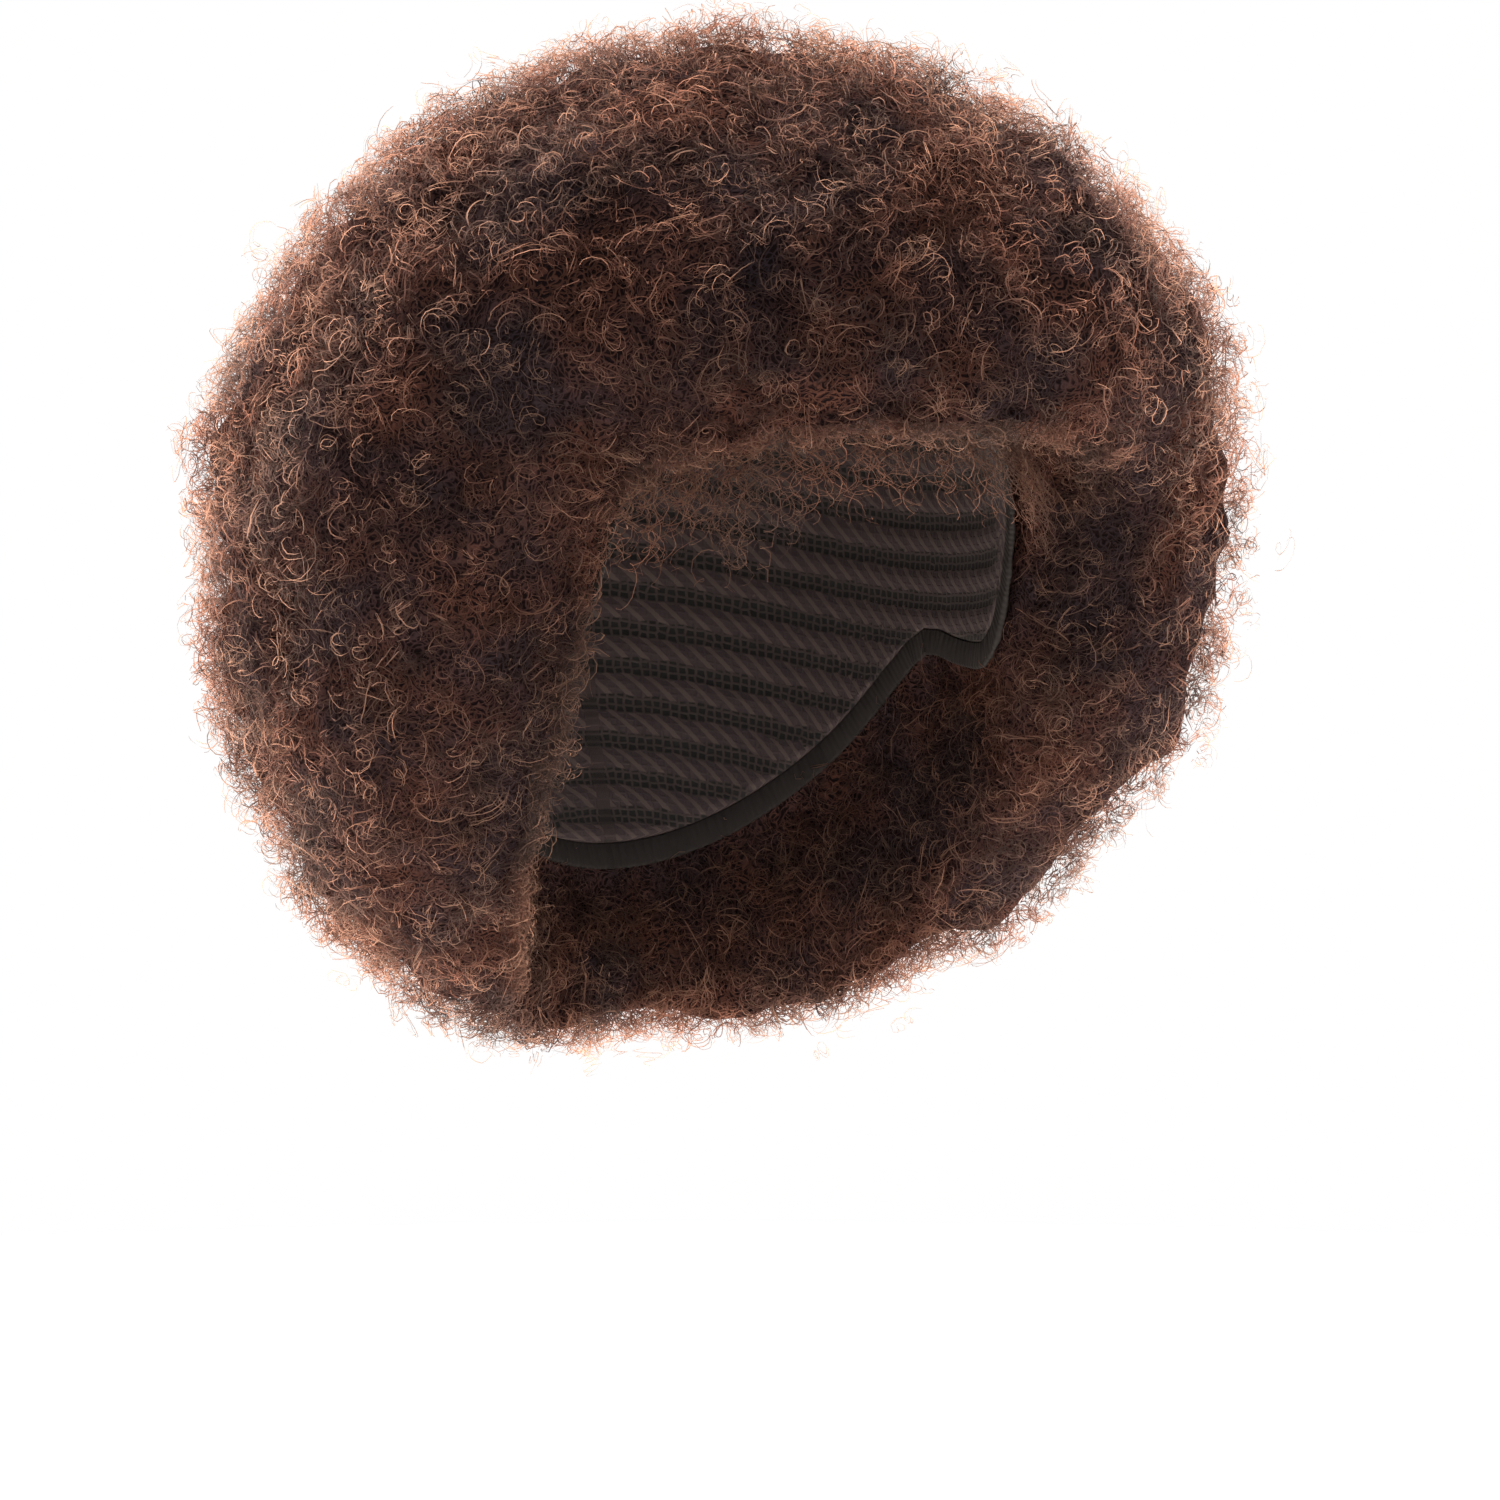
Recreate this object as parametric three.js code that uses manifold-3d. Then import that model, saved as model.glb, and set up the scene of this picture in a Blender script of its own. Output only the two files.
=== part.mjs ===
// An afro wig: a stretch cap with a bound edge, a ball of tightly curled hair sewn to the cap,
// and a fringe of loose curls over the forehead. The wearer faces -Y and +Z is up. The origin
// is the spot of the cap's lining that rests on the crown of the head. Sizes are millimetres.
import * as THREE from "three";
import { mergeVertices } from "three/addons/utils/BufferGeometryUtils.js";
import Module from "manifold-3d";

const wasm = await Module();
wasm.setup();

// The head that the cap fits, as two half ellipsoids that meet at the brow level, over a neck.
const headLength = 196;
const headBreadth = 154;
const crownRise = 74;
const napeReach = 155;
const neckBreadth = 116;
const neckReach = 175;

// The cap, its binding and the clearances between the sewn layers.
const capWall = 1.5;
const bindingWidth = 7;
const seamGap = 0.3;
const layerGap = 0.5;

// The hair ball: depth of hair over the cap, how it turns in at its lip, and its locks. Past
// the cap the hair lifts off the skin, from liftLead before the cap's edge.
const hairDepth = 75;
const lipRound = 62;
const liftLead = 4.2;
const lockPitch = 28;
const lockRelief = 6.5;
const lockUnevenness = 2.5;

// The fringe: a sewn strip, and the curls that hang from it.
const stripHeight = 6;
const stripWall = 2;
const stripLift = capWall + layerGap;
const stripEndMargin = 3;
const fringeDrop = 44;
const fringeThickness = 4.4;
const fringeCurl = 5.5;
const fringeStandOff = 4;

// Facets
const edgeSamples = 720;
const edgeSteps = 60;
const capRings = 7;
const ballDetail = 17;
const hollowDetail = 9;
const stripSteps = 24;
const fringeSides = 5;
const fringeSteps = 11;

// Depth of the hair in each direction, as shares of hairDepth. tilt is degrees from straight up.
const depthRows = [
  { tilt: 0, front: 0.98, side: 0.98, back: 0.98 },
  { tilt: 30, front: 0.96, side: 0.98, back: 0.98 },
  { tilt: 60, front: 0.89, side: 0.98, back: 0.93 },
  { tilt: 90, front: 0.82, side: 0.99, back: 0.89 },
  { tilt: 120, front: 0.7, side: 0.96, back: 0.9 },
  { tilt: 150, front: 0.4, side: 0.62, back: 0.7 },
  { tilt: 165, front: 0.3, side: 0.12, back: 0.12 },
];

// The two edges, round one side from the middle of the forehead to the nape. turn and the two
// tilts are degrees. rise is how steeply the hair leaves the skin beyond the cap, as a slope,
// and lip is a share of lipRound.
const edgeRows = [
  { turn: 0, capTilt: 66, hairTilt: 80, rise: 1.3, lip: 1 },
  { turn: 20, capTilt: 67, hairTilt: 80.5, rise: 1.3, lip: 1 },
  { turn: 35, capTilt: 69, hairTilt: 82.5, rise: 1.1, lip: 1 },
  { turn: 46, capTilt: 72, hairTilt: 86, rise: 0.8, lip: 1 },
  { turn: 52, capTilt: 77, hairTilt: 96, rise: 0.5, lip: 1.05 },
  { turn: 56, capTilt: 85, hairTilt: 111, rise: 0.4, lip: 1.2 },
  { turn: 60, capTilt: 97, hairTilt: 124, rise: 0.3, lip: 1.35 },
  { turn: 69, capTilt: 112, hairTilt: 135, rise: 0.25, lip: 1.3 },
  { turn: 82, capTilt: 113, hairTilt: 145, rise: 0.2, lip: 0.9 },
  { turn: 100, capTilt: 111, hairTilt: 154, rise: 0.15, lip: 0.45 },
  { turn: 130, capTilt: 131, hairTilt: 158, rise: 0.12, lip: 0.35 },
  { turn: 180, capTilt: 141, hairTilt: 158, rise: 0.12, lip: 0.35 },
];

// The curls of the fringe. turn is degrees round from the middle of the forehead, drop is a
// share of fringeDrop and curls is how many turns the lock makes, negative the other way.
const fringeRows = [
  { turn: -43, drop: 0.7, curls: 1.2 },
  { turn: -36, drop: 0.5, curls: -0.9 },
  { turn: -28, drop: 1.0, curls: 1.5 },
  { turn: -21, drop: 0.6, curls: -1.2 },
  { turn: -12, drop: 0.45, curls: 1.0 },
  { turn: -3, drop: 0.3, curls: -0.8 },
  { turn: 6, drop: 0.32, curls: 0.8 },
  { turn: 14, drop: 0.45, curls: -1.0 },
  { turn: 22, drop: 0.36, curls: 0.9 },
  { turn: 30, drop: 0.5, curls: -1.0 },
  { turn: 39, drop: 0.4, curls: 0.9 },
];

const middle = new THREE.Vector3(0, 0, -crownRise);
const radians = THREE.MathUtils.degToRad;

// A smooth reading of one column of a table between its rows.
function column(rows, key, name) {
  const curve = new THREE.CubicInterpolant(
    rows.map((row) => row[key]),
    rows.map((row) => row[name]),
    1,
  );
  curve.settings = { endingStart: THREE.ZeroSlopeEnding, endingEnd: THREE.ZeroSlopeEnding };
  return (at) => curve.evaluate(at)[0];
}

// The unit vector at turn, from the front towards +X, and tilt, from straight up.
function toward(turn, tilt) {
  return new THREE.Vector3(
    Math.sin(tilt) * Math.sin(turn),
    -Math.sin(tilt) * Math.cos(turn),
    Math.cos(tilt),
  );
}

function tiltOf(way) {
  return Math.acos(THREE.MathUtils.clamp(way.z, -1, 1));
}

function levelOf(way) {
  return Math.hypot(way.x, way.y);
}

// Degrees round from the middle of the forehead, the same on both sides.
function turnOf(way) {
  return THREE.MathUtils.radToDeg(Math.abs(Math.atan2(way.x, -way.y)));
}

// How far the skin of the head lies from its middle.
function headRadius(way) {
  const upright = way.z > 0 ? crownRise : napeReach;
  const skull = 1 / Math.hypot(way.x / (headBreadth / 2), way.y / (headLength / 2), way.z / upright);
  if (way.z > 0) return skull;
  return Math.max(skull, Math.min(neckReach, neckBreadth / 2 / levelOf(way)));
}

// One of the two edges as a closed curve of unit vectors, each with the way out of the cap.
function edgeOf(name) {
  const half = edgeRows.map((row) => toward(radians(row.turn), radians(row[name])));
  const otherHalf = half.slice(1, -1).reverse();
  const mirrored = otherHalf.map((way) => new THREE.Vector3(-way.x, way.y, way.z));
  const curve = new THREE.CatmullRomCurve3([...half, ...mirrored], true, "centripetal");
  const ways = curve.getSpacedPoints(edgeSamples).slice(0, -1).map((way) => way.normalize());
  return ways.map((way, i) => {
    const along = ways[(i + 1) % ways.length].clone().sub(ways.at(i - 1));
    return { way, away: along.cross(way).normalize() };
  });
}

const capEdge = edgeOf("capTilt");
const hairEdge = edgeOf("hairTilt");

// The angle from a direction to an edge, positive beyond it.
function beyond(way, edge) {
  let nearest = edge[0];
  for (const spot of edge) {
    if (spot.way.dot(way) > nearest.way.dot(way)) nearest = spot;
  }
  const side = way.clone().sub(nearest.way).dot(nearest.away);
  return Math.sign(side) * Math.acos(Math.min(1, nearest.way.dot(way)));
}

// The hair's inner face: over the cap, and standing off the skin beyond the cap's edge.
const riseAt = column(edgeRows, "turn", "rise");

function innerRadius(way) {
  const skin = headRadius(way);
  const past = Math.max(0, beyond(way, capEdge) * skin + liftLead);
  return skin + capWall + layerGap + riseAt(turnOf(way)) * past;
}

// The ball that the tips of the hair make, before it turns in at the lip.
const depthAt = {
  front: column(depthRows, "tilt", "front"),
  side: column(depthRows, "tilt", "side"),
  back: column(depthRows, "tilt", "back"),
};

function ballRadius(way) {
  const tilt = Math.min(THREE.MathUtils.radToDeg(tiltOf(way)), depthRows.at(-1).tilt);
  const sideways = (way.x / (levelOf(way) || 1)) ** 2;
  const ahead = way.y < 0 ? depthAt.front(tilt) : depthAt.back(tilt);
  const share = sideways * depthAt.side(tilt) + (1 - sideways) * ahead;
  return headRadius(way) + hairDepth * share;
}

// Lock centres, spread evenly over a whole sphere in a spiral, each with its own height.
const usualRadius = headBreadth / 2 + hairDepth;
const lockCount = Math.round((4 * Math.PI * usualRadius ** 2) / lockPitch ** 2);
const goldenTurn = Math.PI * (3 - Math.sqrt(5));
const scatterStep = 13;
const heightStep = 78.2;
const locks = Array.from({ length: lockCount }, (_, i) => {
  const scatter = (Math.sin(i * scatterStep) * lockPitch) / (4 * usualRadius);
  const way = toward(i * goldenTurn + scatter, Math.acos(1 - (2 * i + 1) / lockCount));
  return { way, height: Math.sin(i * heightStep) * lockUnevenness };
});

// Each lock is a rounded tuft, so the hair dips where tufts meet. dipLimit stops the dip where
// three tufts meet, as a share of half the pitch.
const dipLimit = 1.3;

function lockHeight(way) {
  let best = -1;
  let own = locks[0];
  for (const lock of locks) {
    const near = lock.way.dot(way);
    if (near > best) {
      best = near;
      own = lock;
    }
  }
  const away = (Math.acos(Math.min(1, best)) * usualRadius) / (lockPitch / 2);
  return own.height + lockRelief * (0.5 - Math.min(dipLimit, away) ** 2);
}

// The hair's outer face. It meets the inner face at the hair's edge and dives under it beyond.
// The locks lose their relief towards the lip.
const lipAt = column(edgeRows, "turn", "lip");
const diveSlope = 2;

function outerRadius(way) {
  const inner = innerRadius(way);
  const inside = -beyond(way, hairEdge) * usualRadius;
  if (inside < 0) return Math.max(headRadius(way) / 2, inner + inside * diveSlope);
  const opened = Math.min(1, inside / (lipRound * lipAt(turnOf(way))));
  const swell = Math.sqrt(1 - (1 - opened) ** 2);
  const full = ballRadius(way) + lockHeight(way) * opened;
  return inner + Math.max(0, full - inner) * swell;
}

// A closed mesh as a solid that can be joined and cut.
function solid(geometry) {
  const bare = geometry.clone();
  bare.deleteAttribute("normal");
  bare.deleteAttribute("uv");
  const merged = mergeVertices(bare, 1e-3);
  const vertProperties = new Float32Array(merged.attributes.position.array);
  const triVerts = new Uint32Array(merged.index.array);
  return new wasm.Manifold(new wasm.Mesh({ numProp: 3, vertProperties, triVerts }));
}

function geometryOf(made) {
  const mesh = made.getMesh();
  const geometry = new THREE.BufferGeometry();
  geometry.setAttribute("position", new THREE.BufferAttribute(mesh.vertProperties, 3));
  geometry.setIndex(new THREE.BufferAttribute(mesh.triVerts, 1));
  geometry.computeVertexNormals();
  return geometry;
}

// A sphere pushed in or out to a radius that depends on the direction.
function shapedSphere(detail, radiusAt) {
  const geometry = new THREE.IcosahedronGeometry(1, detail);
  const place = geometry.attributes.position;
  const way = new THREE.Vector3();
  for (let i = 0; i < place.count; i++) {
    way.fromBufferAttribute(place, i).normalize();
    const spot = way.clone().multiplyScalar(radiusAt(way)).add(middle);
    place.setXYZ(i, spot.x, spot.y, spot.z);
  }
  return geometry;
}

// A solid through rings of points. Rings close on themselves, and so does the row of rings
// when looped is true. Otherwise the first and last ring are capped.
function loft(rings, looped) {
  const count = rings[0].length;
  const corners = rings.flat().flatMap((spot) => [spot.x, spot.y, spot.z]);
  const faces = [];
  const bands = looped ? rings.length : rings.length - 1;
  for (let r = 0; r < bands; r++) {
    const next = (r + 1) % rings.length;
    for (let i = 0; i < count; i++) {
      const a = r * count + i;
      const b = r * count + ((i + 1) % count);
      const c = next * count + i;
      const d = next * count + ((i + 1) % count);
      faces.push(a, b, d, a, d, c);
    }
  }
  const last = (rings.length - 1) * count;
  for (let i = 1; !looped && i < count - 1; i++) {
    faces.push(0, i + 1, i, last, last + i, last + i + 1);
  }
  const geometry = new THREE.BufferGeometry();
  geometry.setAttribute("position", new THREE.Float32BufferAttribute(corners, 3));
  geometry.setIndex(faces);
  geometry.computeVertexNormals();
  return geometry;
}

// A spot over the head at a height above its skin.
function overSkin(way, height) {
  return way.clone().multiplyScalar(headRadius(way) + height).add(middle);
}

// The direction at a distance past the cap's edge, measured along the skin.
function pastCapEdge(spot, distance) {
  const angle = distance / headRadius(spot.way);
  return spot.way.clone().addScaledVector(spot.away, Math.tan(angle)).normalize();
}

// Spots spaced evenly along the cap's edge. The cap and the binding share them, so they fit.
const hem = Array.from({ length: edgeSteps }, (_, i) => {
  return capEdge[Math.round((i * capEdge.length) / edgeSteps) % capEdge.length];
});

// The cap: a dome of cloth from the crown to its edge, with its outer and inner faces.
function capGeometry() {
  const crown = new THREE.Vector3(0, 0, 1);
  const ringAt = (share, height) => {
    return hem.map((spot) => {
      const angle = tiltOf(spot.way) * share;
      const level = new THREE.Vector3(spot.way.x, spot.way.y, 0).normalize();
      const way = crown.clone().multiplyScalar(Math.cos(angle));
      return overSkin(way.addScaledVector(level, Math.sin(angle)), height);
    });
  };
  const shares = Array.from({ length: capRings }, (_, i) => (i + 1) / capRings);
  const outer = shares.map((share) => ringAt(share, capWall));
  const inner = shares.map((share) => ringAt(share, 0)).reverse();
  return closedAtCrown([...outer, ...inner]);
}

// Rings that start and end at the crown, closed there with a fan to the middle of each end.
function closedAtCrown(rings) {
  const count = rings[0].length;
  const tops = [overSkin(new THREE.Vector3(0, 0, 1), capWall), overSkin(new THREE.Vector3(0, 0, 1), 0)];
  const corners = [...rings.flat(), ...tops].flatMap((spot) => [spot.x, spot.y, spot.z]);
  const outerTop = rings.length * count;
  const innerTop = outerTop + 1;
  const last = (rings.length - 1) * count;
  const faces = [];
  for (let i = 0; i < count; i++) {
    const j = (i + 1) % count;
    faces.push(outerTop, i, j);
    faces.push(innerTop, last + j, last + i);
    for (let r = 0; r < rings.length - 1; r++) {
      const here = r * count;
      const next = here + count;
      faces.push(here + i, next + i, next + j, here + i, next + j, here + j);
    }
  }
  const geometry = new THREE.BufferGeometry();
  geometry.setAttribute("position", new THREE.Float32BufferAttribute(corners, 3));
  geometry.setIndex(faces);
  geometry.computeVertexNormals();
  return geometry;
}

// The binding: elastic tape in line with the cap's wall, round its whole edge. Its free edge is
// folded, so it is rounded there.
function bindingGeometry() {
  const far = seamGap + bindingWidth;
  const section = [
    [seamGap, capWall],
    [far - capWall / 4, capWall],
    [far, (capWall * 2) / 3],
    [far, capWall / 3],
    [far - capWall / 4, 0],
    [seamGap, 0],
  ];
  const rings = hem.map((spot) => {
    return section.map(([distance, height]) => overSkin(pastCapEdge(spot, distance), height));
  });
  return loft(rings, true);
}

// The hair: the ball of locks with the head, and the space that the lip leaves, taken out.
function hairGeometry() {
  const ball = solid(shapedSphere(ballDetail, outerRadius));
  const hollow = solid(shapedSphere(hollowDetail, innerRadius));
  return geometryOf(ball.subtract(hollow));
}

// The fringe: a strip sewn over the binding at the forehead, with curls that hang from it.
function fringeGeometry() {
  const first = fringeRows[0].turn - stripEndMargin;
  const last = fringeRows.at(-1).turn + stripEndMargin;
  const rings = Array.from({ length: stripSteps + 1 }, (_, i) => {
    const spot = capEdgeAt(THREE.MathUtils.lerp(first, last, i / stripSteps));
    const corners = [
      [seamGap, stripLift],
      [seamGap, stripLift + stripWall],
      [seamGap + stripHeight, stripLift + stripWall],
      [seamGap + stripHeight, stripLift],
    ];
    return corners.map(([distance, height]) => overSkin(pastCapEdge(spot, distance), height));
  });
  let made = solid(loft(rings, false));
  for (const row of fringeRows) made = made.add(solid(curlGeometry(row)));
  return geometryOf(made);
}

// The spot of the cap's edge at a turn in degrees, towards +X.
function capEdgeAt(turn) {
  const off = (spot) => Math.abs(Math.atan2(spot.way.x, -spot.way.y) - radians(turn));
  return capEdge.reduce((best, spot) => (off(spot) < off(best) ? spot : best));
}

// One curl: a tapered lock that leaves the strip, hangs down the forehead and winds as it goes.
// leaving is the share of it that comes free of the strip, and tipTaper what its tip loses.
function curlGeometry(row) {
  const leaving = 0.33;
  const tipTaper = 0.6;
  const root = capEdgeAt(row.turn);
  const sideways = root.away.clone().cross(root.way);
  const freed = (along) => Math.min(1, along / leaving);
  const route = Array.from({ length: fringeSteps }, (_, i) => {
    const along = i / (fringeSteps - 1);
    const winding = 2 * Math.PI * row.curls * along;
    const spread = fringeCurl * freed(along);
    const distance = seamGap + stripHeight / 2 + fringeDrop * row.drop * along;
    const way = pastCapEdge(root, distance + (spread * Math.sin(winding)) / 2);
    const height = stripLift + stripWall / 2 + fringeStandOff * freed(along);
    const spot = overSkin(way, height + (spread * (1 - Math.cos(winding))) / 2);
    return spot.addScaledVector(sideways, spread * Math.sin(winding));
  });
  const path = new THREE.CatmullRomCurve3(route);
  const frames = path.computeFrenetFrames(fringeSteps - 1, false);
  const rings = route.map((_, i) => {
    const along = i / (fringeSteps - 1);
    const centre = path.getPointAt(along);
    const full = (fringeThickness / 2) * (1 - tipTaper * along);
    const radius = THREE.MathUtils.lerp(stripWall / 2, full, freed(along));
    return Array.from({ length: fringeSides }, (_, k) => {
      const angle = (2 * Math.PI * k) / fringeSides;
      const ring = centre.clone().addScaledVector(frames.normals[i], radius * Math.cos(angle));
      return ring.addScaledVector(frames.binormals[i], radius * Math.sin(angle));
    });
  });
  return loft(rings, false);
}

// The wig
const hairFibre = new THREE.MeshStandardMaterial({ color: "#4a2c25", roughness: 0.75, metalness: 0 });
const stretchNet = new THREE.MeshStandardMaterial({ color: "#1d1513", roughness: 0.9, metalness: 0 });
const elasticTape = new THREE.MeshStandardMaterial({ color: "#120e0d", roughness: 0.8, metalness: 0 });

function piece(name, geometry, material) {
  const mesh = new THREE.Mesh(geometry, material);
  mesh.name = name;
  return mesh;
}

const wig = new THREE.Group();
wig.add(piece("wig_cap", capGeometry(), stretchNet));
wig.add(piece("edge_binding", bindingGeometry(), elasticTape));
wig.add(piece("afro_hair", hairGeometry(), hairFibre));
wig.add(piece("forehead_fringe", fringeGeometry(), hairFibre));

export default wig;
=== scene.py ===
# An afro wig in its worn shape: a stretch net cap with a bound edge, a ball of tightly curled
# hair sewn to the cap, and loose curls at the front. The wearer faces -Y. Every piece rides on
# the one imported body, and every length is in metres.
import math

import bpy
import numpy as np
from mathutils import Matrix, Vector, noise
from mathutils.bvhtree import BVHTree


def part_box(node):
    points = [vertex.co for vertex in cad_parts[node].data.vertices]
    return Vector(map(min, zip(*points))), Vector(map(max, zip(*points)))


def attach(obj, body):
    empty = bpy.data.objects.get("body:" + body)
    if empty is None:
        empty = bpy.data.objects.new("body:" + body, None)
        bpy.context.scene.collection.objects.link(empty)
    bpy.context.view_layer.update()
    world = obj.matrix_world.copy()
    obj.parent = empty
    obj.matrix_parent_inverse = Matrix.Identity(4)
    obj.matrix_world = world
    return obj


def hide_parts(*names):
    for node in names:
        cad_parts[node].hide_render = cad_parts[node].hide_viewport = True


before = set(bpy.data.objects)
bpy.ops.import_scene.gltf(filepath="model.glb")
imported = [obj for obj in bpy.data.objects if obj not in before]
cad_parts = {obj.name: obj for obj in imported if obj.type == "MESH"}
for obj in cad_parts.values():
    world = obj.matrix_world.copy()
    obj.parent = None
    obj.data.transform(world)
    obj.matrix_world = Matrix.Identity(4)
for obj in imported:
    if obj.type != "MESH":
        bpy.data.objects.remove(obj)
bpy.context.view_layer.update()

# The cap. A real one is a dome of black nylon stretch net. Bands of hair weft are sewn round it,
# so the lining shows low raised bands with bare net between them.
HOLLOW_MIDDLE = Vector((0, 0, -0.074))
NAPE_REACH = 0.155
CAP_WALL = 0.0015
CAP_COLUMNS = 120
LINING_ROWS = 96
OUTER_ROWS = 12
WEFT_SPACING = 0.012
WEFT_BAND = 0.0036
WEFT_RISE = 0.0009
NET_HOLE = 0.0024  # real net has holes of about 1 mm, drawn coarser to be seen
STITCH_PITCH = 0.0028
WAVE_BANDS = 3.18  # straight bands in each unit of a wave texture's scale
HEM_SEARCH = (40, 170)  # degrees from straight up: on the cap, and past its edge
HEM_PRECISION = 1e-4
NET_COLOUR = "#2c2423"
# Painted shade in the net's holes: the dark hair behind the net, drawn near-black.
NET_HOLE_SHADE_COLOUR = "#080707"
WEFT_COLOUR = "#2c2325"
THREAD_COLOUR = "#3f3431"

cap_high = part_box("wig_cap")[1]
half_breadth = cap_high[0] - CAP_WALL
half_length = cap_high[1] - CAP_WALL


def toward(turn, tilt):
    """Unit vectors at turn, from the front towards +X, and tilt, from straight up."""
    level = np.sin(tilt)
    return np.stack([level * np.sin(turn), -level * np.cos(turn), np.cos(tilt)], axis=-1)


def lining_radius(ways):
    """How far the lining lies from the middle of the hollow, in each direction."""
    upright = np.where(ways[..., 2] > 0, -HOLLOW_MIDDLE.z, NAPE_REACH)
    level = [np.full_like(upright, half) for half in (half_breadth, half_length)]
    reach = np.stack([*level, upright], -1)
    return 1 / np.linalg.norm(ways / reach, axis=-1)


def over_lining(ways, height):
    return ways * (lining_radius(ways) + height)[..., None] + np.array(HOLLOW_MIDDLE)


def tree_of(node):
    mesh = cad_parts[node].data
    return BVHTree.FromPolygons([v.co for v in mesh.vertices], [p.vertices for p in mesh.polygons])


cap_tree = tree_of("wig_cap")


def hem_tilt(turn):
    """The tilt at which the cap ends, found between a covered and a bare direction."""
    covered, bare = (math.radians(tilt) for tilt in HEM_SEARCH)
    while bare - covered > HEM_PRECISION:
        tilt = (covered + bare) / 2
        on_cap = cap_tree.ray_cast(HOLLOW_MIDDLE, Vector(toward(turn, tilt)))[0]
        covered, bare = (tilt, bare) if on_cap else (covered, tilt)
    return covered


def ring_faces(rings, columns, looped=False):
    """Triangles between rows of points that each close on themselves."""
    row = np.arange(rings if looped else rings - 1)[:, None] * columns
    column = np.arange(columns)[None, :]
    after = (column + 1) % columns
    next_row = (row + columns) % (rings * columns)
    a, b, c, d = row + column, row + after, next_row + column, next_row + after
    return np.concatenate([np.stack([a, c, d], -1), np.stack([a, d, b], -1)]).reshape(-1, 3)


def add_piece(name, points, triangles, material, replaced=()):
    """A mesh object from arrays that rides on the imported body."""
    mesh = bpy.data.meshes.new(name)
    mesh.vertices.add(len(points))
    mesh.vertices.foreach_set("co", np.ascontiguousarray(points, dtype=np.float32).ravel())
    mesh.loops.add(triangles.size)
    mesh.loops.foreach_set("vertex_index", triangles.astype(np.int32).ravel())
    mesh.polygons.add(len(triangles))
    mesh.polygons.foreach_set("loop_start", np.arange(0, triangles.size, 3, dtype=np.int32))
    mesh.update(calc_edges=True)
    mesh.validate()
    mesh.shade_smooth()
    mesh.materials.append(material)
    piece = bpy.data.objects.new(name, mesh)
    bpy.context.scene.collection.objects.link(piece)
    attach(piece, "root")
    if replaced:
        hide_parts(*replaced)
    return piece


def add_values(piece, name, values):
    """Stores one number, or one vector, for each point of a mesh."""
    kind, field = ("FLOAT", "value") if values.ndim == 1 else ("FLOAT_VECTOR", "vector")
    layer = piece.data.attributes.new(name, kind, "POINT")
    layer.data.foreach_set(field, np.ascontiguousarray(values, dtype=np.float32).ravel())


def linear(colour):
    channels = [int(colour[i : i + 2], 16) / 255 for i in (1, 3, 5)]
    return [c / 12.92 if c <= 0.04045 else ((c + 0.055) / 1.055) ** 2.4 for c in channels] + [1]


def add(tree, kind, inputs=None, **settings):
    """Adds a node. An input is a value, or an output socket to link from."""
    made = tree.nodes.new(kind)
    for name, value in settings.items():
        setattr(made, name, value)
    for name, value in (inputs or {}).items():
        if isinstance(value, bpy.types.NodeSocket):
            tree.links.new(value, made.inputs[name])
        else:
            made.inputs[name].default_value = value
    return made


def new_material(name):
    material = bpy.data.materials.new(name)
    material.use_nodes = True
    material.node_tree.nodes.clear()
    return material, material.node_tree


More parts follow.
